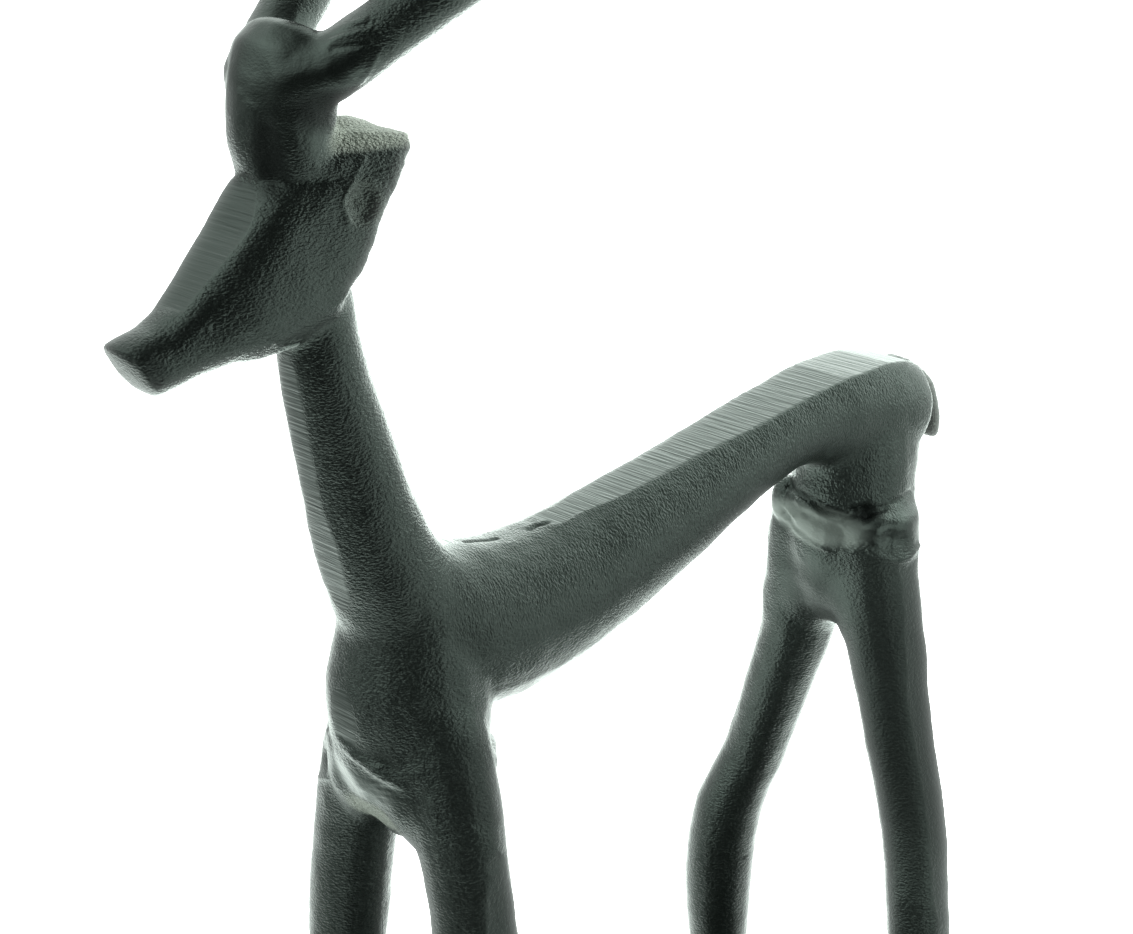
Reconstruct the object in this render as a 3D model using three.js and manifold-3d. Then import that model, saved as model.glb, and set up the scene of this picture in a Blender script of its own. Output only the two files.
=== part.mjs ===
// Cast iron stag statue on a low base, in millimetres, +Z up.
// The stag looks along -X, its left side is -Y, and the base stands on Z = 0.

import * as THREE from "three";
import { mergeVertices } from "three/addons/utils/BufferGeometryUtils.js";
import Module from "manifold-3d";

// Base slab
const baseLength = 150;
const baseWidth = 84;
const baseHeight = 8;
const baseCorner = 12;
const baseEdge = 1.2;
const baseMiddle = 10;

// Each bar of the stag is a row of stations. A station holds the x, y and z of the bar's middle and its half
// width and half depth, and then, where it is ground flat, how deep on the upper and on the lower side.
const neckAndBack = [
  [-55.4, 0, 199, 6.2, 6.4, 0, 0.5],
  [-54.1, 0, 189, 6.5, 6.8, 0, 0.5],
  [-50.5, 0, 174, 7.5, 7.8, 0, 0.5],
  [-46.5, 0, 159, 9, 9.2, 0, 0.4],
  [-40.3, 0, 146.3, 11.2, 11.7],
  [-28.6, 0, 138.7, 12.8, 14.6, 0.6],
  [-10.6, 0, 139.6, 12.6, 13.2, 0.4],
  [7.4, 0, 145.2, 11.4, 11.6, 0.5],
  [26.4, 0, 152.1, 10, 9.6, 0.6],
  [45.4, 0, 158.9, 9.2, 8.4, 0.6],
  [58.8, 0, 160, 10.2, 11.1, 1.2],
  [68.8, 0, 159.2, 11, 11.7, 1.4],
  [76.3, 0, 157.8, 9.6, 9.8, 0.8],
  [79.2, 0, 157, 5.6, 5.6],
];
const chest = [
  [-38.4, 0, 143, 11.6, 11.8],
  [-38.6, 0, 130, 13.9, 14],
  [-38.6, 0, 118, 14.4, 12],
  [-38.6, 0, 108, 8.2, 6.6],
  [-38.6, 0, 103, 2.4, 3.2],
];
const rump = [
  [67, 0, 161, 10.2, 10.6],
  [66.4, 0, 148, 11.7, 12],
  [65.8, 0, 135, 12, 12],
  [65.2, 0, 124, 10.4, 8.4],
  [64.4, 0, 116.5, 3, 3.6],
];
const foreleg = [
  [-38.6, 7, 126, 8.2, 8.8],
  [-38.9, 12.7, 112, 7.9, 7.9],
  [-38.9, 16, 99, 7.1, 7.1],
  [-39.3, 18.5, 81, 6.8, 6.8],
  [-39.9, 20.7, 56, 6.2, 6.2],
  [-40.2, 22.2, 32, 5.6, 5.6],
  [-39.8, 22.8, 20, 5.6, 5.7],
  [-40.8, 23, 6, 6.9, 8],
];
const hindLeg = [
  [64.5, 7.6, 140, 8, 9],
  [64.8, 8.8, 128, 7.2, 8],
  [65.1, 11.4, 115, 7.2, 7.5],
  [63.8, 15.8, 100, 6.6, 6.7],
  [63, 21.5, 83, 6.3, 6.3],
  [60.4, 26.2, 69, 6.3, 6.3],
  [60.1, 28.3, 53, 6.2, 6.2],
  [61, 28.6, 32, 5.7, 5.7],
  [61.2, 28.6, 20, 5.6, 5.7],
  [59.8, 28.6, 6, 6.9, 8],
];
const head = [
  [-93.2, 0, 192, 5.2, 3.7],
  [-83.2, 0, 193.7, 5.5, 5.1],
  [-78.2, 0, 197, 6, 6.8, 0.4],
  [-72.6, 0, 200.8, 7.6, 9.5, 1.2],
  [-65.8, 0, 204.4, 8.8, 13.8, 0.8],
  [-56.2, 0, 208.6, 9.2, 15.4],
  [-47.2, 0, 210.2, 9.2, 14.8],
  [-37.2, 0, 211, 8.6, 13.6],
];
const stump = [
  [-59.2, 0, 210, 7.8, 7],
  [-59.4, 0, 219, 7.8, 7],
  [-60, 0, 227, 8.8, 8.3],
  [-58.6, 0, 235.5, 9.8, 7.8],
  [-56.4, 0, 239, 6.4, 4.4],
];
const antler = [
  [-61, 3, 232, 6.4, 6.4],
  [-56.4, 8.4, 234.4, 5.2, 5.2],
  [-51.1, 11.7, 238.5, 5.1, 5.1],
  [-45.6, 14.1, 242.9, 4.9, 4.9],
  [-37.6, 17.6, 248.4, 4.8, 4.8],
  [-29.6, 21.5, 255.5, 4.5, 4.5],
  [-24.4, 25.4, 265, 4.2, 4.2],
  [-23.4, 28.2, 275, 3.7, 3.7],
  [-25.8, 29.6, 284, 3, 3],
  [-29.4, 29.6, 291, 1.6, 1.6],
];
const foreTine = [
  [-35.6, 18.4, 249.8, 3.9, 3.9],
  [-39, 19.4, 258, 3.5, 3.5],
  [-41.4, 20.2, 266, 2.8, 2.8],
  [-42.8, 20.6, 272, 1.5, 1.5],
];
const rearTine = [
  [-25.4, 24.6, 262.6, 3.7, 3.7],
  [-18.6, 27.4, 268, 3.4, 3.4],
  [-13.4, 29.4, 274.6, 2.7, 2.7],
  [-10.6, 30.4, 280, 1.5, 1.5],
];
const tail = [
  [73, 0, 164.6, 3.4, 3],
  [79.4, 0, 163.6, 3, 2.4],
  [84.3, 0, 160.1, 2.8, 2.1],
  [86.6, 0, 154.2, 2.7, 1.9],
  [86.8, 0, 149.6, 2.6, 1.8],
];

// Flat cuts of the head, each by a point on the plane and the direction of the side that stays
const headCuts = [
  { point: [-90.6, 0, 195], keep: [0.78, 0, 0.62] },
  { point: [-48.1, 0, 209.6], keep: [-0.86, 0, 0.51] },
  { point: [-45, 0, 223.3], keep: [-0.09, 0, -1] },
];

// A section's squareness: 2 is an oval, more is boxy
const ovalSection = 2;
const headSection = 2.8;

// Corners closer than this are merged after the pieces are joined
const tidyTolerance = 0.02;

const wasm = await Module();
wasm.setup();

// A smooth curve through three columns of the stations, where a missing column counts as 0
function curveThrough(stations, columns) {
  const points = stations.map((station) => columns.map((column) => station[column] ?? 0));
  return new THREE.CatmullRomCurve3(points.map(([a, b, c = 0]) => new THREE.Vector3(a, b, c)));
}

// A point of the unit circle moved out to the outline of the given squareness
function squared(c, s, squareness) {
  const reach = (Math.abs(c) ** squareness + Math.abs(s) ** squareness) ** (1 / squareness);
  return reach > 0 ? new THREE.Vector2(c, s).multiplyScalar(Math.hypot(c, s) / reach) : new THREE.Vector2();
}

// A bar through its stations: a cylinder whose rings are moved to the path and shaped. The rings stand
// across the path, or across a given direction.
function bar(stations, { sides, steps, squareness = ovalSection, along = null }) {
  const path = curveThrough(stations, [0, 1, 2]);
  const halves = curveThrough(stations, [3, 4]);
  const ground = curveThrough(stations, [5, 6]);
  const geometry = new THREE.CylinderGeometry(1, 1, 1, sides, steps);
  const place = geometry.attributes.position;
  for (let i = 0; i < place.count; i += 1) {
    const t = 0.5 - place.getY(i);
    const forward = along ?? path.getTangent(t);
    const across = new THREE.Vector3(0, 1, 0).addScaledVector(forward, -forward.y).normalize();
    const up = new THREE.Vector3().crossVectors(forward, across);
    const half = halves.getPoint(t);
    const cut = ground.getPoint(t);
    const section = squared(place.getX(i), place.getZ(i), squareness);
    const rise = THREE.MathUtils.clamp(section.y * half.y, cut.y - half.y, half.y - cut.x);
    const point = path.getPoint(t).addScaledVector(across, section.x * half.x).addScaledVector(up, rise);
    place.setXYZ(i, point.x, point.y, point.z);
  }
  return solid(geometry);
}

// A closed solid from a geometry whose corners are merged
function solid(geometry) {
  geometry.deleteAttribute("normal");
  geometry.deleteAttribute("uv");
  const merged = mergeVertices(geometry);
  return new wasm.Manifold(new wasm.Mesh({
    numProp: 3,
    vertProperties: Float32Array.from(merged.attributes.position.array),
    triVerts: Uint32Array.from(merged.index.array),
  }));
}

// The same bar on the right and on the left side
function pair(stations, shape) {
  const mirrored = stations.map(([x, y, ...rest]) => [x, -y, ...rest]);
  return bar(stations, shape).add(bar(mirrored, shape));
}

// The head: a boxy wedge with the muzzle, the back and the crown cut flat
function makeHead() {
  const along = new THREE.Vector3(1, 0, 0);
  const whole = bar(head, { sides: 22, steps: 16, squareness: headSection, along });
  return headCuts.reduce((rest, { point, keep }) => {
    const normal = new THREE.Vector3(...keep).normalize();
    return rest.trimByPlane(normal.toArray(), normal.dot(new THREE.Vector3(...point)));
  }, whole);
}

// The whole animal as one fused solid, with its feet cut level with the top of the base
function makeStag() {
  const pieces = [
    bar(neckAndBack, { sides: 22, steps: 38 }),
    bar(chest, { sides: 18, steps: 10 }),
    bar(rump, { sides: 18, steps: 10 }),
    pair(foreleg, { sides: 14, steps: 16 }),
    pair(hindLeg, { sides: 14, steps: 20 }),
    makeHead(),
    bar(stump, { sides: 16, steps: 8 }),
    pair(antler, { sides: 12, steps: 18 }),
    pair(foreTine, { sides: 10, steps: 6 }),
    pair(rearTine, { sides: 10, steps: 6 }),
    bar(tail, { sides: 10, steps: 10 }),
  ];
  const joined = pieces.reduce((whole, piece) => whole.add(piece));
  return joined.trimByPlane([0, 0, 1], baseHeight).simplify(tidyTolerance);
}

// The slab, with round corners and chamfered edges
function makeBase() {
  const [x, y] = [baseLength / 2, baseWidth / 2];
  const outline = new THREE.Shape();
  outline.absarc(x - baseCorner, y - baseCorner, baseCorner, 0, Math.PI / 2);
  outline.absarc(baseCorner - x, y - baseCorner, baseCorner, Math.PI / 2, Math.PI);
  outline.absarc(baseCorner - x, baseCorner - y, baseCorner, Math.PI, Math.PI * 1.5);
  outline.absarc(x - baseCorner, baseCorner - y, baseCorner, Math.PI * 1.5, Math.PI * 2);
  const slab = new THREE.ExtrudeGeometry(outline, {
    depth: baseHeight - 2 * baseEdge,
    curveSegments: 5,
    bevelThickness: baseEdge,
    bevelSize: baseEdge,
    bevelOffset: -baseEdge,
    bevelSegments: 1,
  });
  return slab.translate(baseMiddle, 0, baseEdge);
}

function geometryOf(manifold) {
  const { vertProperties, triVerts } = manifold.getMesh();
  const geometry = new THREE.BufferGeometry();
  geometry.setAttribute("position", new THREE.BufferAttribute(vertProperties, 3));
  geometry.setIndex(new THREE.BufferAttribute(triVerts, 1));
  geometry.computeVertexNormals();
  return geometry;
}

function named(name, geometry, material) {
  const mesh = new THREE.Mesh(geometry, material);
  mesh.name = name;
  return mesh;
}

const castIron = new THREE.MeshStandardMaterial({ color: "#2b3230", roughness: 0.5, metalness: 0.7 });
const statue = new THREE.Group();
statue.add(named("stag", geometryOf(makeStag()), castIron));
statue.add(named("base", makeBase(), castIron.clone()));

export default statue;
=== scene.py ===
# %% [markdown]
# # A cast iron stag
#
# The object is a slender standing stag: a cast bar for head, neck, body and tail, with forked castings for
# the legs and the antlers welded on. Its casting seams are ground flat and the rest keeps the grain of the
# sand mould. This lesson gives the plain CAD solid that look, in the CAD model's own frame and in metres.

import math

import bmesh
import bpy
import numpy as np
from mathutils import Matrix, Vector


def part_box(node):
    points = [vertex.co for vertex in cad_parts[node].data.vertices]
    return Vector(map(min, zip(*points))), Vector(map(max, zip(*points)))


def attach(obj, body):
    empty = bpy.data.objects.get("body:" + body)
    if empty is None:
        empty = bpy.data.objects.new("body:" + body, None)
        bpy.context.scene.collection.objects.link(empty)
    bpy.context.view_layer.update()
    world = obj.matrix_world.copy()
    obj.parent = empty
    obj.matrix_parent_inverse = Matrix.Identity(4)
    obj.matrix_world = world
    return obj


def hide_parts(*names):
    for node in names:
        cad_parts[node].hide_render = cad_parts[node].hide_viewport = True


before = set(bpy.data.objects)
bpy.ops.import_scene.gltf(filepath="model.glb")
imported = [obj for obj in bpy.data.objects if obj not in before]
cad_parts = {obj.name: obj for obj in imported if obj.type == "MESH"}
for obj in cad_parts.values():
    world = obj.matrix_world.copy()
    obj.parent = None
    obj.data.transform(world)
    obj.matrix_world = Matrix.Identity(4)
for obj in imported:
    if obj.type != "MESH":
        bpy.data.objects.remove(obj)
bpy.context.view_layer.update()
scene = bpy.context.scene
MM = 0.001

# %% [markdown]
# ## Camera
#
# The statue is seen from its left front, a little from above, and so near that the feet and the antler tips
# leave the picture. The camera is placed by two angles and a distance around a point at the withers. A
# "Track To" constraint could aim it, but a rotation worked out once is simpler to read and to keep.

# %% Camera
SENSOR_MM = 36
PHOTO_WIDTH_PX = 1133
FOCAL_LENGTH_PX = 2500
TURN = math.radians(40)
RISE = math.radians(17)
CAMERA_DISTANCE = 425 * MM
NEAREST_SEEN = 10 * MM
LOOK_AT = Vector((-4.6, 0, 161)) * MM

to_camera = Vector((-math.sin(TURN) * math.cos(RISE), -math.cos(TURN) * math.cos(RISE), math.sin(RISE)))
camera_data = bpy.data.cameras.new("photo_camera")
camera_data.sensor_width = SENSOR_MM
camera_data.sensor_fit = "HORIZONTAL"
camera_data.lens = SENSOR_MM * FOCAL_LENGTH_PX / PHOTO_WIDTH_PX
camera_data.clip_start = NEAREST_SEEN
camera = bpy.data.objects.new("photo_camera", camera_data)
camera.location = LOOK_AT + to_camera * CAMERA_DISTANCE
camera.rotation_euler = to_camera.to_track_quat("Z", "Y").to_euler()
scene.collection.objects.link(camera)
scene.camera = camera
print("Camera at", [round(v / MM) for v in camera.location], "mm with a lens of", round(camera_data.lens, 1))

# %% [markdown]
# ## Colours and nodes
#
# Colours are written as sRGB hex values, as a colour picker shows them, and Blender's shaders want linear
# light, so one function converts them. A second one adds a node with its settings, its values and its links,
# which keeps each material below as a short list of nodes.

# %% Helpers for colours and nodes
def linear(hex_colour):
    """The linear RGBA of an sRGB hex colour."""
    levels = [int(hex_colour[i:i + 2], 16) / 255 for i in (1, 3, 5)]
    return [v / 12.92 if v <= 0.04045 else ((v + 0.055) / 1.055) ** 2.4 for v in levels] + [1]


def add_node(tree, kind, inputs=None, output=0, **settings):
    """A new node with its settings. An input is linked to a socket or set to a value."""
    node = tree.nodes.new(kind)
    for name, value in settings.items():
        setattr(node, name, value)
    for name, value in (inputs or {}).items():
        if isinstance(value, bpy.types.NodeSocket):
            tree.links.new(value, node.inputs[name])
        else:
            node.inputs[name].default_value = value
    return node.outputs[output] if node.outputs else node


# %% [markdown]
# ## Studio
#
# The statue stands on a lit white table with a white sheet behind it, and the room behind the camera is dark:
# edges and tops shine and the sides that face the camera stay almost black. Area lights alone would each show
# as a highlight of their own. A world shader with a few wide panels of light is softer, and a few weak white
# cards close to the statue lift single places.

# %% Panels of light
TENT_COLOUR = linear("#f4fff9")
PANEL_SHARPNESS = 6
# Each panel: degrees to the right of the camera's side, degrees above the floor and strength
PANELS = [
    (0, -90, 4.0),
    (180, -40, 5.9),
    (135, -40, 1.7),
    (225, -40, 1.0),
    (270, -40, 0.6),
    (180, 40, 2.4),
    (270, 40, 2.2),
    (315, 40, 1.6),
]
BACKDROP_LIGHT = 1.8


def direction_to(turn, rise):
    """The direction that lies this many degrees to the right of the camera's side and above the floor."""
    heading = math.radians(turn) - TURN - math.pi / 2
    level = math.cos(math.radians(rise))
    return Vector((level * math.cos(heading), level * math.sin(heading), math.sin(math.radians(rise))))


world = bpy.data.worlds.new("lit_table")
scene.world = world
world.use_nodes = True
tree = world.node_tree
tree.nodes.clear()
direction = add_node(tree, "ShaderNodeTexCoord", output="Generated")
brightness = 0.0
for turn, rise, strength in PANELS:
    facing = add_node(
        tree, "ShaderNodeVectorMath", {0: direction, 1: direction_to(turn, rise)}, "Value",
        operation="DOT_PRODUCT",
    )
    facing = add_node(tree, "ShaderNodeMath", {0: facing, 1: 0.0}, operation="MAXIMUM")
    panel = add_node(tree, "ShaderNodeMath", {0: facing, 1: PANEL_SHARPNESS}, operation="POWER")
    brightness = add_node(
        tree, "ShaderNodeMath", {0: panel, 1: strength, 2: brightness}, operation="MULTIPLY_ADD",
    )
light = add_node(tree, "ShaderNodeBackground", {"Color": TENT_COLOUR, "Strength": brightness})
backdrop = add_node(tree, "ShaderNodeBackground", {"Color": linear("#ffffff"), "Strength": BACKDROP_LIGHT})
seen = add_node(tree, "ShaderNodeLightPath", output="Is Camera Ray")
both = add_node(tree, "ShaderNodeMixShader", {0: seen, 1: light, 2: backdrop})
add_node(tree, "ShaderNodeOutputWorld", {"Surface": both})
scene.view_settings.view_transform = "Standard"
print(len(PANELS), "panels of light")

# %% White cards
# Each white card: the place that it faces, degrees to the right and above the floor, distance, size and watts
CARDS = [
    ((62, 0, 125), 45, 5, 200, 200, 0.18),
    ((62, 0, 125), 135, 5, 200, 200, 0.08),
    ((62, 0, 125), 180, 10, 200, 200, 0.45),
    ((62, 0, 125), 120, 60, 200, 200, 0.32),
    ((-40, 0, 130), 90, 5, 250, 200, 0.11),
    ((-52, 0, 195), 115, 4, 200, 100, 0.08),
    ((60, 0, 132), 285, -22, 75, 60, 0.03),
]
for target, turn, rise, distance, size, watts in CARDS:
    card_data = bpy.data.lights.new("card", "AREA")
    card_data.size = size * MM
    card_data.energy = watts
    card_data.color = TENT_COLOUR[:3]
    card = bpy.data.objects.new("card", card_data)
    card.location = (Vector(target) + direction_to(turn, rise) * distance) * MM
    card.rotation_euler = direction_to(turn, rise).to_track_quat("Z", "Y").to_euler()
    scene.collection.objects.link(card)
print(len(CARDS), "white cards")

# %% Floor
FLOOR_RADIUS = 4
FLOOR_SIDES = 96
# Matt white paper, lit so bright from behind that it gives the eye no shade and no edge
PAPER_ROUGHNESS = 0.9
paper = bpy.data.materials.new("white_paper")
paper.use_nodes = True
paper_shader = paper.node_tree.nodes["Principled BSDF"]
paper_shader.inputs["Base Color"].default_value = linear("#f2f4f3")
paper_shader.inputs["Roughness"].default_value = PAPER_ROUGHNESS
paper_shader.inputs["Emission Color"].default_value = linear("#ffffff")
paper_shader.inputs["Emission Strength"].default_value = BACKDROP_LIGHT
sheet = bmesh.new()
bmesh.ops.create_circle(sheet, cap_ends=True, segments=FLOOR_SIDES, radius=FLOOR_RADIUS)
floor_mesh = bpy.data.meshes.new("floor")
sheet.to_mesh(floor_mesh)
sheet.free()
floor_mesh.materials.append(paper)
floor = bpy.data.objects.new("floor", floor_mesh)
scene.collection.objects.link(floor)
# The lit table glows through: only the camera sees the floor, and the panels below shine past it
floor.visible_diffuse = False
floor.visible_glossy = False
floor.visible_shadow = False
print("Floor of", FLOOR_RADIUS, "m radius")

# %% [markdown]
# ## Glow
#
# The sheet is brighter than white, and in a real lens such light spills a little over the statue's edges. A
# halo could be painted behind the statue, but the compositor's Glare node takes it from the picture itself:
# what is brighter than white is blurred and laid over the rest.

# %% Glow of the bright sheet
GLOW_STRENGTH = 0.35
GLOW_SIZE = 0.03
scene.use_nodes = True
lens = scene.node_tree
lens.nodes.clear()
picture = add_node(lens, "CompositorNodeRLayers", output="Image")
glow = add_node(
    lens, "CompositorNodeGlare",
    {"Image": picture, "Threshold": 1.0, "Strength": GLOW_STRENGTH, "Size": GLOW_SIZE}, "Image",
    glare_type="BLOOM", quality="HIGH",
)
add_node(lens, "CompositorNodeComposite", {"Image": glow})
print("Glow of strength", GLOW_STRENGTH)

# %% [markdown]
# ## The casting as it left the mould
#
# The CAD solid already has every bar in its place, so the visual piece starts from a merged copy of it and
# can't drift away from it. Its joints are sharp, though, and iron flows: a voxel remesh gives an even skin,
# and two Smooth modifiers take off the facets everywhere and melt the joints where a vertex group says so.

# %% Copy the CAD solid
SAME_CORNER = 0.001 * MM


def copy_of_node(name):
    """A merged copy of a CAD node's mesh, in millimetres."""
    copy = bmesh.new()
    copy.from_mesh(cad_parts[name].data)
    bmesh.ops.remove_doubles(copy, verts=copy.verts, dist=SAME_CORNER)
    bmesh.ops.scale(copy, vec=[1 / MM] * 3, verts=copy.verts)
    mesh = bpy.data.meshes.new(name)
    copy.to_mesh(mesh)
    copy.free()
    return mesh


stag = bpy.data.objects.new("stag_iron", copy_of_node("stag"))
scene.collection.objects.link(stag)
print("CAD solid of", len(stag.data.vertices), "corners")

# %% Helpers for beads and modifiers
def add_bead(bm, stations, sides=16):
    """A round bead through stations of place and radius: circles bridged in turn, with filled ends."""
    places = [Vector(place) for place, _ in stations]
    rings = []
    for i, (place, radius) in enumerate(stations):
        ahead = places[min(i + 1, len(places) - 1)] - places[max(i - 1, 0)]
        turned = Matrix.Translation(place) @ ahead.to_track_quat("Z", "Y").to_matrix().to_4x4()
        ring = bmesh.ops.create_circle(bm, segments=sides, radius=radius, matrix=turned)["verts"]
        rings.append(list(dict.fromkeys(edge for vert in ring for edge in vert.link_edges)))
    for ring, following in zip(rings, rings[1:]):
        bmesh.ops.bridge_loops(bm, edges=ring + following)
    for ring in (rings[0], rings[-1]):
        bmesh.ops.edgeloop_fill(bm, edges=ring)


def bake_modifiers(piece):
    """Puts the result of the modifiers in the piece's own mesh and takes the modifiers off."""
    before = piece.data
    evaluated = piece.evaluated_get(bpy.context.evaluated_depsgraph_get())
    piece.data = bpy.data.meshes.new_from_object(evaluated)
    piece.modifiers.clear()
    bpy.data.meshes.remove(before)


def add_modifier(piece, kind, **settings):
    """A new modifier with its settings."""
    modifier = piece.modifiers.new(kind.lower(), kind)
    for name, value in settings.items():
        setattr(modifier, name, value)


# %% Fill the forks
# The iron in the fork of each pair of legs, as round bars by their stations of place and radius: one down the
# middle, and one down to the right leg that is mirrored for the left leg
FORKS = [
    (
        [
            ((-39.4, 0, 123), 12.4), ((-39.6, 0, 116), 10.8), ((-39.4, 0, 111), 8.4), ((-39.0, 0, 107), 5.4),
            ((-38.8, 0, 104.5), 2.8),
        ],
        [((-39.2, 6.0, 119), 10.3), ((-39.2, 8.4, 112), 9.0), ((-38.9, 12.4, 106.5), 6.2)],
    ),
    (
        [
            ((65.4, 0, 141), 11.7), ((65.3, 0, 132), 11.5), ((65.1, 0, 125), 9.8), ((64.9, 0, 120.5), 7.2),
            ((64.8, 0, 118), 4),
        ],
        [
            ((65.3, 4.0, 141), 9.9), ((65.2, 4.8, 131), 9.7), ((65.1, 6.6, 123.5), 8.6),
            ((65.1, 10.4, 116.5), 6.8),
        ],
    ),
]
ROUGH_VOXEL = 0.8
bm = bmesh.new()
bm.from_mesh(stag.data)
cast_faces = len(bm.faces)
for middle, right in FORKS:
    left = [((x, -y, z), radius) for (x, y, z), radius in right]
    for stations in (middle, right, left):
        add_bead(bm, stations)
bmesh.ops.recalc_face_normals(bm, faces=bm.faces[cast_faces:])
bm.to_mesh(stag.data)
bm.free()
add_modifier(stag, "REMESH", mode="VOXEL", voxel_size=ROUGH_VOXEL)
bake_modifiers(stag)
print("Casting skin of", len(stag.data.vertices), "corners")

# %% Melt the joints
SMOOTH_FACTOR = 0.5
FACET_PASSES = 4
MELT_PASSES = 36
# Share of a melted place's radius that melts in full
MELT_CORE = 0.55
LEAST_WEIGHT = 0.01
# Centre and radius of each place where one bar runs into another, or where an edge is worn round
MELTED = [
    ((-36, 0, 145), 16),
    ((-47, 0, 141), 13),
    ((-38.6, 0, 109), 10),
    ((61, 0, 153), 13),
    ((64.5, 0, 124), 11),
    ((58, 4, 129), 9),
    ((58, -4, 127), 9),
    ((-47, 0, 115), 9),
    ((64.5, 13, 141), 6),
    ((64.5, -13, 141), 6),
    ((-54, 0, 240), 4),
    ((-36, 18, 250), 6),
    ((-36, -18, 250), 6),
    ((-24, 25, 263), 6),
    ((-24, -25, 263), 6),
    ((78, 0, 162), 4),
    ((-90, 0, 193), 6),
]


def points_of(mesh):
    """The corners of a mesh as rows of x, y, z."""
    flat = np.empty(len(mesh.vertices) * 3)
    mesh.vertices.foreach_get("co", flat)
    return flat.reshape(-1, 3)


def fade(value, full, none):
    """1 where a value has reached full, 0 where it has reached none, and smooth between."""
    share = np.clip((value - none) / (full - none), 0, 1)
    return share * share * (3 - 2 * share)


def add_group(piece, name, weights):
    """A vertex group that holds each corner with its weight."""
    group = piece.vertex_groups.new(name=name)
    for index in np.flatnonzero(weights > LEAST_WEIGHT):
        group.add([int(index)], float(weights[index]), "REPLACE")


skin = points_of(stag.data)
melt = np.zeros(len(skin))
for centre, radius in MELTED:
    melt = np.maximum(melt, fade(np.linalg.norm(skin - centre, axis=1), radius * MELT_CORE, radius))
add_group(stag, "melted", melt)
add_modifier(stag, "SMOOTH", factor=SMOOTH_FACTOR, iterations=FACET_PASSES)
add_modifier(stag, "SMOOTH", factor=SMOOTH_FACTOR, iterations=MELT_PASSES, vertex_group="melted")
bake_modifiers(stag)

# %% [markdown]
# ## Weld metal
#
# The legs and antlers are welded on, and the welder left lumps and beads that were never dressed. They could
# be sculpted by hand, but they are simple shapes: flattened balls and round beads along a short path. They
# are laid over the casting, and one finer remesh fuses everything into a single closed skin.

# %% Lay the weld metal on
HIP_AXIS = (65.9, 0.0)
HIP_RADIUS = 12.0
# Each hip pad: how far it stands proud, and its stations of angle in degrees, height and half height
HIP_PADS = [
    (1.2, [
        (128, 142.0, 0.9), (145, 141.3, 2.2), (165, 139.9, 3.0), (185, 138.8, 3.4),
        (205, 138.0, 3.6), (222, 137.4, 3.3), (240, 137.4, 2.7), (256, 138.0, 1.2),
    ]),
    (0.4, [(318, 138.6, 1.0), (335, 138.8, 1.8), (0, 139.2, 2.1), (25, 138.8, 1.8), (42, 138.6, 1.0)]),
]
# Each lump: centre and half sizes
WELD_LUMPS = [
    ((-38.6, -12.2, 119.4), (4.8, 5.2, 9.4)),
    ((-37.6, 12.0, 118.6), (5.6, 6.5, 8.6)),
    ((62.4, -8.9, 138), (6.0, 5.9, 5.0)),
    ((57.8, 8.8, 140.4), (3.3, 3.3, 4.6)),
    ((63.2, 9.9, 136.6), (5.8, 5.2, 5.6)),
]
# Each bead: radius and the points of its path
WELD_BEADS = [
    (1.5, [
        (-47.2, 7.8, 121.8), (-49.6, 2.9, 122.2), (-50.3, -1.3, 121.6), (-49.4, -6.2, 120.1),
        (-47.6, -9.2, 118.5), (-45.7, -11.6, 117.0), (-44.2, -14.2, 116.4),
    ]),
    (2.2, [
        (-33.0, 13.0, 119.0), (-28.4, 7.0, 119.4), (-27.2, 0.0, 119.6), (-28.4, -7.0, 119.2),
        (-33.0, -13.0, 118.6),
    ]),
]
FINE_VOXEL = 0.42
WELD_PASSES = 5


def add_ball(bm, centre, half_sizes):
    """A flattened ball."""
    place = Matrix.LocRotScale(Vector(centre), None, Vector(half_sizes))
    bmesh.ops.create_uvsphere(bm, u_segments=24, v_segments=14, radius=1, matrix=place)


def pad_station(angle, height, half, proud):
    """The place and radius of a round bead that shows as a pad of a half height on the hip's round bar."""
    radius = (half ** 2 + proud ** 2) / (2 * proud)
    reach = HIP_RADIUS + proud - radius
    turn = math.radians(angle)
    return (HIP_AXIS[0] + reach * math.cos(turn), HIP_AXIS[1] + reach * math.sin(turn), height), radius


bm = bmesh.new()
bm.from_mesh(stag.data)
cast_faces = len(bm.faces)
for lump in WELD_LUMPS:
    add_ball(bm, *lump)
for radius, path in WELD_BEADS:
    add_bead(bm, [(place, radius) for place in path])
for proud, stations in HIP_PADS:
    add_bead(bm, [pad_station(*station, proud) for station in stations])
bmesh.ops.recalc_face_normals(bm, faces=bm.faces[cast_faces:])
bm.to_mesh(stag.data)
bm.free()
add_modifier(stag, "REMESH", mode="VOXEL", voxel_size=FINE_VOXEL)
add_modifier(stag, "SMOOTH", factor=SMOOTH_FACTOR, iterations=WELD_PASSES)
bake_modifiers(stag)
print("Welded skin of", len(stag.data.vertices), "corners")

# %% [markdown]
# ## Surface of the sand mould
#
# Iron takes the print of the sand that it is poured in, so no face is quite even. A sculpt brush with a
# texture could add that, but two Displace modifiers with cloud textures are the same on every run. The skin
# then has more triangles than it needs, and a Decimate modifier thins the places where little happens.

# %% Uneven cast surface
# Wide, shallow lumps first and then a coarse grain, each by its width and height
MOULD_SURFACE = [("mould_lumps", 6.0, 0.34), ("mould_grain", 1.3, 0.09)]
for name, width, height in MOULD_SURFACE:
    clouds = bpy.data.textures.new(name, "CLOUDS")
    clouds.noise_scale = width
    clouds.noise_depth = 1
    add_modifier(stag, "DISPLACE", texture=clouds, texture_coords="LOCAL", strength=height, mid_level=0.5)
bake_modifiers(stag)
print("Mould surface laid over", len(stag.data.vertices), "corners")

# %% Fewer triangles where little happens
MOST_TRIANGLES = 194_000
# Shares of the half sizes below at which the thinning begins and is full
THIN_FROM = 0.9
THIN_FULL = 1.2
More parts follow.
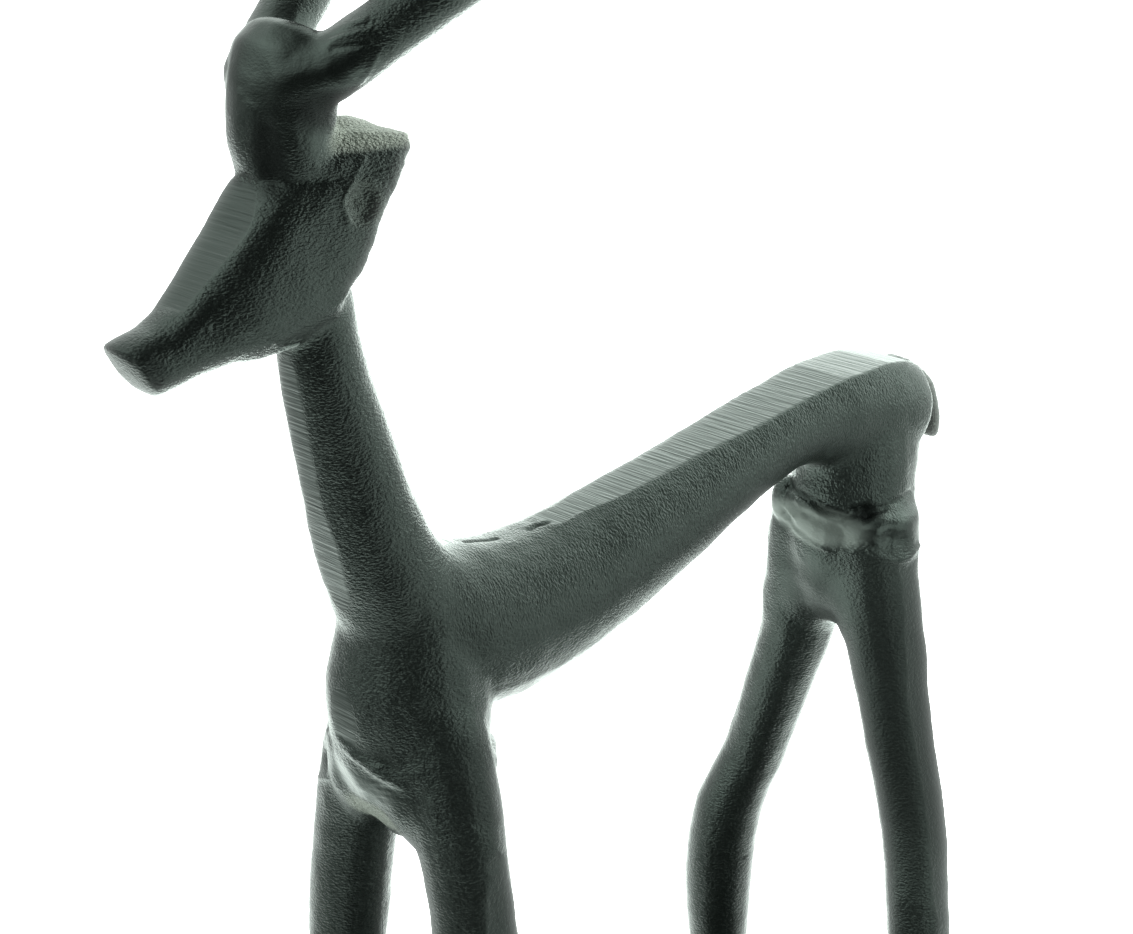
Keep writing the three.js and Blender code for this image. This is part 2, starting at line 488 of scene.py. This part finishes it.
# Centre and half sizes of the places that keep all their corners
DETAIL = [
    ((60, 0, 139), (16, 18, 7)),
    ((-45, -2, 115), (9, 18, 9)),
    ((-57, -12, 238), (7, 7, 7)),
    ((-4, 0, 156), (30, 4, 8)),
    ((-51, -9, 214), (7, 4, 8)),
]
skin = points_of(stag.data)
plain = np.ones(len(skin))
for centre, half_sizes in DETAIL:
    away = np.linalg.norm((skin - centre) / half_sizes, axis=1)
    plain = np.minimum(plain, fade(away, THIN_FULL, THIN_FROM))
add_group(stag, "plain", plain)
triangles = sum(len(face.vertices) - 2 for face in stag.data.polygons)
add_modifier(
    stag, "DECIMATE", ratio=MOST_TRIANGLES / triangles, use_collapse_triangulate=True, vertex_group="plain",
)
bake_modifiers(stag)
print("Thinned", triangles, "triangles to", len(stag.data.polygons))

# %% [markdown]
# ## Carving
#
# What is cut or pressed into the iron comes next: folds and cracks at the welds, the ear hollows, and last
# the seams that the grinder took flat. Sculpt strokes can't be written in a script, so each one is a rule on
# the distance from a short path. Grinding is the simplest rule: nothing may stand above the flat.

# %% Rule for grooves and ridges
# A groove or ridge has faded out at this many times its width
LINE_REACH = 3


def along_path(points, path):
    """For each point, the nearest place on a path and the way the path runs there."""
    nearest = np.full(len(points), np.inf)
    place = np.zeros_like(points)
    ahead = np.zeros_like(points)
    path = np.array(path, float)
    for start, end in zip(path, path[1:]):
        step = end - start
        share = np.clip((points - start) @ step / (step @ step), 0, 1)
        spot = start + share[:, None] * step
        distance = np.linalg.norm(points - spot, axis=1)
        closer = distance < nearest
        nearest[closer] = distance[closer]
        place[closer] = spot[closer]
        ahead[closer] = step / np.linalg.norm(step)
    return nearest, place, ahead


def close_to(points, path, reach):
    """The numbers of the points in the box around a path."""
    path = np.array(path, float)
    inside = (points > path.min(axis=0) - reach) & (points < path.max(axis=0) + reach)
    return np.flatnonzero(inside.all(axis=1))


def raise_line(points, normals, path, width, height):
    """Raises a rounded ridge along a path, or sinks a groove where the height is negative."""
    near = close_to(points, path, width * LINE_REACH)
    distance = along_path(points[near], path)[0]
    points[near] += normals[near] * (height * np.exp(-(distance / width) ** 2))[:, None]


# %% Sunken and raised lines
# Each line, most of them at a weld: width, height and path
CARVED_LINES = [
    (0.6, -0.7, [
        (58.5, 9.6, 143.5), (54.6, 2.7, 143.2), (54.3, -3.5, 142.4), (56.6, -7.6, 141.5), (59.2, -9.9, 141.3),
    ]),
    (0.5, 0.45, [(59.0, 10.4, 142.4), (54.4, 2.7, 141.9), (53.9, -3.5, 140.9), (56.0, -7.6, 139.8)]),
    (0.5, -0.35, [(58.0, 10.0, 141.7), (53.9, 3.0, 140.9), (53.2, -1.0, 140.3)]),
    (0.5, 0.4, [(59.4, 11.4, 141.0), (55.0, 6.5, 139.9), (53.2, 2.3, 139.2)]),
    (0.5, 0.5, [
        (57.5, 9.5, 137.6), (54.4, 4.8, 136.8), (53.4, -0.3, 135.3), (54.8, -5.2, 134.2), (56.0, -9.2, 134.6),
        (57.4, -11.6, 136.8),
    ]),
    (0.6, 0.6, [
        (57.8, -12.6, 135.6), (59.2, -14.0, 134.3), (62.1, -15.6, 133.2), (65.8, -15.6, 133.4),
        (69.0, -14.4, 134.6),
    ]),
    (0.6, -0.6, [
        (59.2, -9.9, 141.3), (63.5, -12.4, 143.2), (68.1, -12.0, 143.8), (73.0, -9.6, 143.8),
        (77.8, 0.0, 143.8),
    ]),
    (0.6, -0.6, [(77.8, 0.0, 143.8), (75.5, 7.0, 143.8), (69.0, 11.4, 143.6), (61.0, 10.8, 143.6)]),
    (0.5, 0.25, [(-58.3, -9.6, 240.0), (-56.4, -11.8, 241.0), (-54.2, -13.9, 241.8)]),
    (0.4, -0.25, [(-58.5, -10.6, 239.4), (-56.5, -12.6, 240.2), (-54.4, -14.4, 240.9)]),
    (0.5, 0.25, [(-58.6, -11.2, 238.7), (-56.7, -13.1, 239.6), (-54.3, -15.0, 240.2)]),
    (0.4, -0.25, [(-58.8, -12.0, 237.6), (-56.8, -13.9, 238.0), (-54.4, -15.4, 238.2)]),
    (0.5, 0.25, [(-53.4, -15.4, 236.6), (-54.0, -15.0, 235.0), (-54.4, -14.2, 233.8), (-55.2, -13.0, 232.2)]),
    (0.5, 0.3, [(-67.6, -0.8, 230.9), (-67.7, -2.2, 229.1), (-67.2, -4.4, 228.6)]),
    (0.7, -0.6, [(-66.3, 0.0, 218.0), (-64.6, -4.9, 217.5), (-61.6, -7.4, 217.5), (-55.7, -7.6, 217.4)]),
    (0.7, -0.6, [(-66.3, 0.0, 218.0), (-64.6, 4.9, 217.5), (-61.6, 7.4, 217.5), (-55.7, 7.6, 217.4)]),
    (1.2, -0.4, [(-66.0, -5.4, 226.2), (-65.5, -5.2, 222.8), (-64.9, -4.6, 219.0)]),
    (0.6, 0.5, [(-47.0, 11.0, 120.6), (-46.6, 10.2, 115.0), (-46.6, 12.0, 111.6), (-45.6, 16.2, 110.0)]),
    (0.6, 0.4, [(-47.4, 0.0, 112.4), (-47.3, -3.6, 113.2), (-46.4, -7.2, 112.0), (-46.0, -11.0, 110.6)]),
    (0.6, -0.4, [(-47.2, 0.0, 111.2), (-46.9, -3.6, 111.9), (-45.6, -7.0, 110.6)]),
    (0.5, -0.6, [(-89.5, -3.6, 195.0), (-87.6, -4.9, 193.2), (-86.2, -5.2, 191.0)]),
    (0.5, 0.12, [(-41.8, -20.0, 112.4), (-40.0, -21.0, 110.3), (-37.4, -20.8, 110.9), (-35.2, -19.6, 111.6)]),
]
# Each pit: centre, radius and depth; the last one is a grain that stands out
PITS = [
    ((59.5, -9.9, 141.8), 1.4, 1.5),
    ((57.7, -8.4, 142.2), 0.9, 0.9),
    ((61.7, -11.2, 140.8), 0.8, 0.7),
    ((61.0, -15.2, 137.6), 2.0, 1.2),
    ((64.0, -15.9, 136.6), 1.7, 0.9),
    ((-46.0, 14.2, 114.4), 1.9, 0.9),
    ((-66.0, 0.0, 235.7), 0.5, 0.4),
    ((-64.8, -2.9, 237.5), 0.5, 0.4),
    ((-64.5, -5.7, 235.5), 0.5, 0.4),
    ((-67.2, -1.1, 231.4), 0.5, 0.3),
    ((-74.7, -6.8, 202.9), 0.5, -0.4),
]
# A pit is a groove along a line that is too short to see
PIT_LINE = (0, 0, 0.01)

skin = points_of(stag.data)
normals = np.empty(skin.size)
stag.data.vertices.foreach_get("normal", normals)
normals = normals.reshape(-1, 3)
for width, height, path in CARVED_LINES:
    raise_line(skin, normals, path, width, height)
for centre, radius, depth in PITS:
    raise_line(skin, normals, [centre, np.add(centre, PIT_LINE)], radius, -depth)
print("Carved", len(CARVED_LINES), "lines and", len(PITS), "pits")

# %% [markdown]
# ## Ears
#
# The ears are no pieces of their own: each is a shallow hollow in the side of the head with a low rim. A
# boolean cut would leave a sharp edge round the hollow. Pressing the skin in along its normals, most in the
# middle, keeps it soft.

# %% Ears
MIRRORED = np.array((1, -1, 1))
EAR = np.array((-51.6, -9.0, 213.6))
EAR_HALF = np.array((3.7, 4.0, 3.6))
EAR_CORE = 0.4
EAR_DEPTH = 0.7
RIM_WIDTH = 0.4
RIM_HEIGHT = 0.22
EAR_RIM = np.array([(-50.5, -7.8, 220.3), (-53.9, -8.8, 216.5), (-55.6, -9.1, 213.8), (-54.6, -9.3, 211.0)])


def in_ball(centre, half_sizes, core, rim=1.0):
    """How far each corner lies in a flattened ball: 1 up to the core share of its size and 0 from the rim."""
    return fade(np.linalg.norm((skin - centre) / half_sizes, axis=1), core, rim)


for side in (np.ones(3), MIRRORED):
    skin -= normals * (EAR_DEPTH * in_ball(EAR * side, EAR_HALF, EAR_CORE))[:, None]
    raise_line(skin, normals, EAR_RIM * side, RIM_WIDTH, RIM_HEIGHT)
print("Hollowed the ears by", EAR_DEPTH, "mm")

# %% [markdown]
# ## Soft grabs
#
# A casting finished by hand is less regular than its CAD bars: here and there it leans or swells by a
# millimetre or so. The Grab and Inflate brushes of sculpt mode would do it by hand. Here each stroke is one
# row of a table, which can be read, changed and repeated.

# %% Soft grabs
BRUSH_CORE = 0.3
# Each grab, as with the sculpt brush of that name: centre, half sizes and the way that the iron is moved
GRABS = [
    ((-42, -15, 246), (16, 12, 14), (-0.1, -0.1, -0.6)),
    ((-66, 2, 220), (8, 8, 9), (-0.5, 0.4, 0)),
    ((-48, 6, 223), (10, 8, 6), (0, 0, 1.3)),
    ((-41, -4, 221), (6, 8, 6), (0.3, -0.2, 0)),
    ((-48, 0, 212.5), (8, 14, 8), (-1.5, 0, 0)),
    ((-49, -4, 203), (6, 8, 5), (0.5, -0.4, 0)),
    ((-74, -3, 190), (12, 9, 7), (0, 0, -0.6)),
    ((-87, 0, 189), (8, 9, 7), (0, 0, -0.5)),
    ((-60, 0, 180), (9, 12, 20), (-0.5, 0, 0)),
    ((-45, -2, 165), (10, 12, 22), (0.3, -0.3, 0)),
    ((-50, 0, 148), (9, 12, 11), (0.8, 0, 0)),
    ((-52, 0, 137), (8, 12, 8), (0.5, 0, 0)),
    ((-22, -2, 124), (12, 12, 6), (0, 0, -0.6)),
    ((40, 0, 146), (24, 14, 9), (0, 0, 1.0)),
    ((76, -6, 155), (8, 10, 12), (0.4, -0.4, 0)),
    ((65, -9, 116), (12, 9, 14), (-0.5, 0.4, 0)),
    ((60, 14, 126), (12, 12, 16), (-0.9, 0.8, 0)),
    ((62, -31, 62), (14, 14, 24), (-0.5, 0.4, 0)),
    ((-38.5, -23, 75), (14, 14, 34), (0.7, -0.6, 0)),
]
# Each swelling, as with the inflate brush: centre, half sizes and how far the skin comes out
SWELLINGS = [
    ((60, 28, 58), (14, 14, 28), 0.9),
    ((-38, 18, 88), (14, 12, 30), 0.6),
]
for centre, half_sizes, shift in GRABS:
    skin += in_ball(centre, half_sizes, BRUSH_CORE)[:, None] * np.array(shift)
for centre, half_sizes, swell in SWELLINGS:
    skin += normals * (swell * in_ball(centre, half_sizes, BRUSH_CORE))[:, None]
print("Grabbed", len(GRABS), "places and swelled", len(SWELLINGS))

# %% [markdown]
# ## Weld ripples
#
# Where the molten metal cooled in steps, it froze in fine, almost level ripples across the chest. A bump
# texture could show them, but they also catch the light at the edge, so they are a low wave in the skin.

# %% Weld ripples
RIPPLE_STEP = 1.15
RIPPLE_HEIGHT = 0.05
RIPPLE_SLOPE = 0.15
RIPPLE_CENTRE = (-46, -7, 121)
RIPPLE_HALF = (9, 7, 9)
RIPPLE_CORE = 0.4
ripple_zone = in_ball(RIPPLE_CENTRE, RIPPLE_HALF, RIPPLE_CORE)
ripple = np.sin(2 * math.pi * (skin[:, 2] + RIPPLE_SLOPE * skin[:, 1]) / RIPPLE_STEP)
skin += normals * (RIPPLE_HEIGHT * ripple_zone * ripple)[:, None]
print("Rippled", int((ripple_zone > 0).sum()), "corners")

# %% [markdown]
# ## Ground seams
#
# Where the halves of the mould met, the casting had a seam, and it was ground off in flat strips along back,
# neck, chest, forehead and legs. A boolean cut with a box would do for a straight strip. These follow curved
# bars, so all that stands above a path is pushed down to it, and how far it stood above is noted.

# %% Rule for flats
def grind(points, ground, path, outward, reach):
    """Takes off what stands above a flat strip, and notes how far each corner stood above it."""
    near = close_to(points, path, reach)
    _, place, ahead = along_path(points[near], path)
    facing = outward - (ahead @ np.array(outward, float))[:, None] * ahead
    facing /= np.linalg.norm(facing, axis=1)[:, None]
    offset = points[near] - place
    proud = (offset * facing).sum(axis=1)
    beside = np.linalg.norm(offset - proud[:, None] * facing, axis=1)
    first, second, *_, last_but_one, last = np.array(path, float)
    before_start = (points[near] - first) @ (second - first) < 0
    past_end = (points[near] - last) @ (last - last_but_one) > 0
    proud[before_start | past_end | (beside > reach)] = -1
    points[near] -= facing * np.maximum(proud, 0)[:, None]
    ground[near] = np.maximum(ground[near], np.clip(proud, -1, 1))


# %% Paths of the flats
# Points on each finished flat
BACK_STRIP = [
    (-31.5, 0, 153.5), (-21.3, 0, 151.8), (-8.7, 0, 152.6), (4.6, 0, 155.3), (18.6, 0, 158.5),
    (31.7, 0, 161.6), (45.4, 0, 164.9), (56.7, 0, 167.5), (67.6, 0, 168.5), (73.3, 0, 167.9), (77, 0, 166.5),
]
NECK_STRIP = [
    (-62.2, 0, 197), (-61.0, 0, 190.7), (-58.3, 0, 174.8), (-56.2, 0, 164.1), (-53.5, 0, 153.7),
    (-52.1, 0, 149), (-51.2, 0, 144), (-51.9, 0, 141), (-53.4, 0, 137),
]
CHEST_STRIP = [(-50.8, 0, 138.5), (-51.8, 0, 135), (-51.9, 0, 130), (-51.7, 0, 126), (-51.2, 0, 123)]
FOREHEAD_STRIP = [
    (-66.4, 0, 217.0), (-67.2, 0, 215.6), (-70.5, 0, 210.7), (-75.5, 0, 205.5), (-80.2, 0, 200.6),
    (-81.2, 0, 200.0),
]
FORELEG_STRIP = [
    (-37.0, -21.2, 106), (-37.0, -21.8, 103.5), (-37.6, -22.1, 99), (-38.1, -24.4, 81),
    (-38.8, -26.1, 56), (-39.2, -27.0, 32), (-38.8, -27.7, 18),
]
HINDLEG_STRIP = [
    (65.6, -14.9, 132), (66, -17.1, 118), (65.3, -19.4, 107), (64.6, -23.6, 93), (63.2, -28.3, 79),
    (61.1, -32.1, 66), (60.9, -33.6, 53), (61.7, -33.5, 32), (61.9, -33.5, 20),
]
# Each crack in the ground back: width, height and path
BACK_CRACKS = [
    (0.35, -0.7, [(-26.9, -0.5, 152.5), (-23.7, -0.4, 152.0), (-20.6, -0.8, 151.8)]),
    (0.45, -0.7, [(-13.7, -1.0, 152.1), (-12.0, -0.6, 152.3), (-10.1, -1.2, 152.5)]),
    (0.35, -0.6, [(11.4, 1.0, 157.6), (13.0, -0.2, 158.1), (14.6, -0.7, 158.5)]),
    (0.35, -0.5, [(16.6, 0.8, 159.0), (17.8, 0.0, 159.4)]),
    (0.30, -0.5, [(20.8, 1.2, 160.2), (23.1, 0.4, 160.8)]),
]
print("Back strip of", len(BACK_STRIP), "points with", len(BACK_CRACKS), "cracks")

# %% Ground seams
# Each strip with the way that it faces and how far the grinder reaches to each side
MIDDLE_STRIPS = [
    (BACK_STRIP, (0, 0, 1), 10),
    (NECK_STRIP, (-1, 0, 0), 6),
    (CHEST_STRIP, (-1, 0, 0), 6),
    (FOREHEAD_STRIP, (-0.7, 0, 0.7), 8),
]
LEG_STRIPS = [(FORELEG_STRIP, (0.21, -0.98, 0), 5), (HINDLEG_STRIP, (0.14, -0.99, 0), 5)]
ground = np.full(len(skin), -1.0)
for strip, outward, reach in MIDDLE_STRIPS:
    grind(skin, ground, strip, outward, reach)
for side in (np.ones(3), MIRRORED):
    for strip, outward, reach in LEG_STRIPS:
        grind(skin, ground, strip * side, outward * side, reach)
for width, height, path in BACK_CRACKS:
    raise_line(skin, normals, path, width, height)
print("Ground flat:", int((ground > 0).sum()), "corners")

# %% [markdown]
# ## Where each finish lies
#
# The grained skin of the casting gives way to smooth weld metal at the joints and to rough skin that was
# never dressed. A paler grey is painted on the pad at the hip as painted light, and black painted shade lies
# in corners.
# Texture Paint could mark these places in an image. Attributes on the corners do it without one, and the
# material reads them by name.

# %% Note where each finish lies
# Each area of a finish: centre, half sizes and strength
WELD_AREAS = [
    ((64, 0, 138.5), (17, 17, 4.6), 1),
    ((-40, 0, 115.5), (16, 13, 4.4), 1),
    ((-58, 0, 233), (13, 17, 13), 1),
    ((62, 0, 127), (10, 11, 10), 1),
    ((-62, 0, 203), (32, 14, 17), 0.3),
]
ROUGH_AREAS = [
    (EAR, EAR_HALF, 0.04),
    (EAR * MIRRORED, EAR_HALF, 0.04),
    ((-45.5, 0, 109), (5, 7, 3.5), 0.5),
    ((85, 0, 156), (6, 5, 10), 0.1),
]
# Painted light: a paler grey on the smooth pad at the hip, for the light that it reflects
PAINTED_PAD_LIGHT_AREAS = [((55.4, -0.6, 138.4), (5.6, 12, 3.6), 0.9)]
# Painted shade: black on the nose, under the antlers, in the hip pit, at the forks and down the near legs
PAINTED_SHADE_AREAS = [
    ((-88, 0, 192), (4, 7, 5), 0.5),
    ((-56, -9, 229), (9, 5, 4), 0.8),
    ((-56, 9, 229), (9, 5, 4), 0.8),
    ((-66, -5, 222), (3, 3, 6), 0.7),
    ((60, -10, 141.5), (3, 3, 1.5), 0.6),
    ((63, -19, 98), (11, 12, 36), 0.45),
    ((-38.5, -21, 84), (9, 10, 28), 0.3),
    ((-37, -18, 118), (7, 5, 9), 0.35),
    ((59, 0, 123), (7, 7, 8), 0.35),
]
# The rough crown of the head: its area, and the heights between which the rough skin begins
CROWN_AREAS = [((-45, 0, 222), (12, 12, 6), 1)]
CROWN_FULL = 222.3
CROWN_NONE = 220.6
# Where the bars stand: full and none by x for neck, chest and head, and by z for the legs
STANDING_X = (-42, -34)
STANDING_Z = (136, 142)
# How soft the rim of an area is, as a share of its half sizes
RIM = 0.25
PAINTED_PAD_LIGHT_RIM = 0.3
PAINTED_SHADE_RIM = 0.4


def covered(areas, soft=RIM):
    """How far a finish covers each corner: up to its strength in each area, with a soft rim."""
    cover = np.zeros(len(skin))
    for centre, half_sizes, strength in areas:
        cover = np.maximum(cover, strength * in_ball(centre, half_sizes, 1 - soft, 1 + soft))
    return cover


weld = covered(WELD_AREAS)
crown = fade(skin[:, 2], CROWN_FULL, CROWN_NONE) * covered(CROWN_AREAS)
rough = np.maximum(crown, covered(ROUGH_AREAS))
# A paler grey painted on the hip pad for the light it reflects, and black painted shade in corners
painted_pad_light = covered(PAINTED_PAD_LIGHT_AREAS, PAINTED_PAD_LIGHT_RIM)
painted_shade = covered(PAINTED_SHADE_AREAS, PAINTED_SHADE_RIM)
# The grain runs level round the bars that stand, and upright round those that lie
upright = np.maximum(fade(skin[:, 0], *STANDING_X), fade(skin[:, 2], *STANDING_Z))
print("Weld metal on", int((weld > 0.5).sum()), "corners, rough skin on", int((rough > 0.5).sum()))

# %% Write the carved skin back
FINISHES = {"ground": ground, "weld": weld, "rough": rough, "painted_pad_light": painted_pad_light, "painted_shade": painted_shade, "upright": upright}
stag.data.vertices.foreach_set("co", skin.ravel())
for name, values in FINISHES.items():
    stag.data.attributes.new(name, "FLOAT", "POINT").data.foreach_set("value", values)
stag.data.transform(Matrix.Scale(MM, 4))
stag.data.shade_smooth()
print("Stag of", len(stag.data.polygons), "triangles, with", ", ".join(FINISHES))

# %% [markdown]
# ## Cast iron
#
# Grey iron from a sand mould, blackened and oiled: a dark, slightly green satin skin whose grain runs round
# each bar. The grinder left lighter strips with fine cross marks, and the weld metal is smooth. Each finish
# could be a material of its own with a hard border. One material that mixes them by the attributes is one
# continuous surface.

# %% Finishes of the iron
# Blackened, oiled skin: dark, with a satin shine
SKIN_COLOUR = linear("#383e3b")
# Ground iron: a little lighter, with cross marks that break up the shine
GROUND_COLOUR = linear("#3f4542")
# Weld metal: as dark as the skin but smooth, so it shines in clean streaks
WELD_COLOUR = linear("#393f3c")
# Rough skin that was never dressed: pale, dry and matt
ROUGH_COLOUR = linear("#b0b5aa")
# Painted light on the hip pad: a dull grey that looks paler than the skin from every side, for the light the
# pad reflects
PAINTED_PAD_LIGHT_COLOUR = linear("#767d78")
# Painted shade: black and dull, so that corners and the places under the antlers stay dark as in shadow
PAINTED_SHADE_COLOUR = linear("#171a19")
# Colour, roughness, metal and depth of grain in millimetres: of the skin, and of what is laid over it in turn
SKIN_FINISH = (SKIN_COLOUR, 0.36, 0.85, 0.28)
LAID_OVER = [
    ("weld", WELD_COLOUR, 0.3, 0.85, 0.05),
    ("rough", ROUGH_COLOUR, 0.75, 0.25, 1.2),
    ("painted_pad_light", PAINTED_PAD_LIGHT_COLOUR, 0.6, 0.3, 0.1),
    ("ground", GROUND_COLOUR, 0.4, 0.85, 0.0),
    ("painted_shade", PAINTED_SHADE_COLOUR, 0.65, 0.85, 0.2),
]
GRAIN_LENGTH_MM = 0.62
GRAIN_WIDTH_MM = 0.36
MARK_SPACING_MM = 0.7
MARK_LENGTH_MM = 16
MARK_DEPTH_MM = 0.22
PATCH_MM = 5
# Each pattern of noise: its sizes along x, y and z, and its detail
PATTERNS = [
    ("lying", (GRAIN_WIDTH_MM, GRAIN_LENGTH_MM, GRAIN_LENGTH_MM), 1),
    ("upright", (GRAIN_LENGTH_MM, GRAIN_LENGTH_MM, GRAIN_WIDTH_MM), 1),
    ("marks", (MARK_SPACING_MM, MARK_LENGTH_MM, MARK_SPACING_MM), 2),
    ("patches", (PATCH_MM, PATCH_MM, PATCH_MM), 2),
]
NOISE_ROUGHNESS = 0.6
# How far the edge of a ground strip wanders, and the heights between which the strip begins
EDGE_WANDER = 0.12
EDGE_NONE = 0.03
EDGE_FULL = 0.1
print(len(LAID_OVER), "finishes over the skin and", len(PATTERNS), "patterns")

# %% Cast iron material
def per_metre(*sizes_mm):
    """The texture scale for x, y and z that repeats a pattern at these sizes in millimetres."""
    return [1 / (size * MM) for size in sizes_mm]


def cast_iron(name):
    """Blackened cast iron with sand grain, ground strips, weld metal, rough skin, painted light on the hip
    pad and painted shade.
    """
    material = bpy.data.materials.new(name)
    material.use_nodes = True
    tree = material.node_tree
    place = add_node(tree, "ShaderNodeTexCoord", output="Object")

    # Sand grain round the lying bars and round the upright ones, cross marks of the grinder, and wide patches
    patterns = {}
    for pattern, sizes, detail in PATTERNS:
        vector = add_node(
            tree, "ShaderNodeVectorMath", {0: place, 1: per_metre(*sizes)}, operation="MULTIPLY",
        )
        patterns[pattern] = add_node(
            tree, "ShaderNodeTexNoise",
            {"Vector": vector, "Scale": 1.0, "Detail": detail, "Roughness": NOISE_ROUGHNESS},
        )
    masks = {
        finish: add_node(tree, "ShaderNodeAttribute", output="Fac", attribute_name=finish)
        for finish in FINISHES
    }
    grain = add_node(
        tree, "ShaderNodeMix", {0: masks["upright"], 2: patterns["lying"], 3: patterns["upright"]},
    )

    # The edge of a ground strip wanders a little
    edge = add_node(
        tree, "ShaderNodeMath", {0: patterns["patches"], 1: EDGE_WANDER, 2: masks["ground"]},
        operation="MULTIPLY_ADD",
    )
    masks["ground"] = add_node(
        tree, "ShaderNodeMapRange", {"Value": edge, "From Min": EDGE_NONE, "From Max": EDGE_FULL},
        interpolation_type="SMOOTHSTEP",
    )

    # Each finish is laid over the one before
    colour, roughness, metal, depth = SKIN_FINISH
    for finish, over_colour, over_roughness, over_metal, over_depth in LAID_OVER:
        mask = masks[finish]
        colour = add_node(tree, "ShaderNodeMix", {0: mask, 6: colour, 7: over_colour}, 2, data_type="RGBA")
        roughness = add_node(tree, "ShaderNodeMix", {0: mask, 2: roughness, 3: over_roughness})
        metal = add_node(tree, "ShaderNodeMix", {0: mask, 2: metal, 3: over_metal})
        depth = add_node(tree, "ShaderNodeMix", {0: mask, 2: depth, 3: over_depth})
    grain_height = add_node(tree, "ShaderNodeMath", {0: grain, 1: depth}, operation="MULTIPLY")
    mark_depth = add_node(
        tree, "ShaderNodeMath", {0: masks["ground"], 1: MARK_DEPTH_MM}, operation="MULTIPLY",
    )
    height = add_node(
        tree, "ShaderNodeMath", {0: patterns["marks"], 1: mark_depth, 2: grain_height},
        operation="MULTIPLY_ADD",
    )
    bump = add_node(tree, "ShaderNodeBump", {"Height": height, "Distance": MM, "Strength": 1.0})
    shader = tree.nodes["Principled BSDF"]
    looks = {"Base Color": colour, "Roughness": roughness, "Metallic": metal, "Normal": bump}
    for socket, value in looks.items():
        tree.links.new(value, shader.inputs[socket])
    return material


stag.data.materials.clear()
stag.data.materials.append(cast_iron("blackened_cast_iron"))
print("Material", stag.data.materials[0].name)

# %% [markdown]
# ## Base
#
# A low slab of the same iron carries the feet. It is a plain box with rounded corners: a cube, its upright
# edges bevelled wide and its rims bevelled narrow. The same mould lumps as on the stag keep it from looking
# machined.

# %% Base slab
BASE_CORNER = 12
BASE_CORNER_STEPS = 10
BASE_EDGE = 1.2
BASE_EDGE_STEPS = 4
BASE_LUMPS = 0.25
# An edge is level if its ends differ in height by less than this
SAME_HEIGHT = 0.01
low, high = [np.array(corner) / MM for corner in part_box("base")]
slab = bmesh.new()
place = Matrix.LocRotScale(Vector((low + high) / 2), None, Vector(high - low))
bmesh.ops.create_cube(slab, size=1, matrix=place)
upright_edges = [e for e in slab.edges if abs(e.verts[0].co.z - e.verts[1].co.z) > SAME_HEIGHT]
bmesh.ops.bevel(
    slab, geom=upright_edges, offset=BASE_CORNER, segments=BASE_CORNER_STEPS, profile=0.5, affect="EDGES",
    material=-1,
)
rims = [e for e in slab.edges if abs(e.verts[0].co.z - e.verts[1].co.z) < SAME_HEIGHT]
bmesh.ops.bevel(
    slab, geom=rims, offset=BASE_EDGE, segments=BASE_EDGE_STEPS, profile=0.5, affect="EDGES", material=-1,
)
base_mesh = bpy.data.meshes.new("base_iron")
slab.to_mesh(base_mesh)
slab.free()
base = bpy.data.objects.new("base_iron", base_mesh)
scene.collection.objects.link(base)
add_modifier(base, "REMESH", mode="VOXEL", voxel_size=ROUGH_VOXEL)
add_modifier(base, "SMOOTH", factor=SMOOTH_FACTOR, iterations=FACET_PASSES)
# With a middle level of 1 the lumps only sink in, and the slab stays inside its CAD box
add_modifier(
    base, "DISPLACE", texture=bpy.data.textures["mould_lumps"], texture_coords="LOCAL", strength=BASE_LUMPS,
    mid_level=1,
)
bake_modifiers(base)
base.data.transform(Matrix.Scale(MM, 4))
base.data.shade_smooth()
# The base has none of the attributes, so it shows the grained skin with faint patches of ground iron
base.data.materials.append(cast_iron("cast_iron_base"))
print("Base of", len(base.data.polygons), "faces")

# %% [markdown]
# ## Hand over
#
# Each visual piece rides on the CAD body and stands for its CAD node, which is hidden.

# %% Hand over
for piece, node, slot in ((stag, "stag", "cast_iron"), (base, "base", "base_iron")):
    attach(piece, "root")
    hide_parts(node)
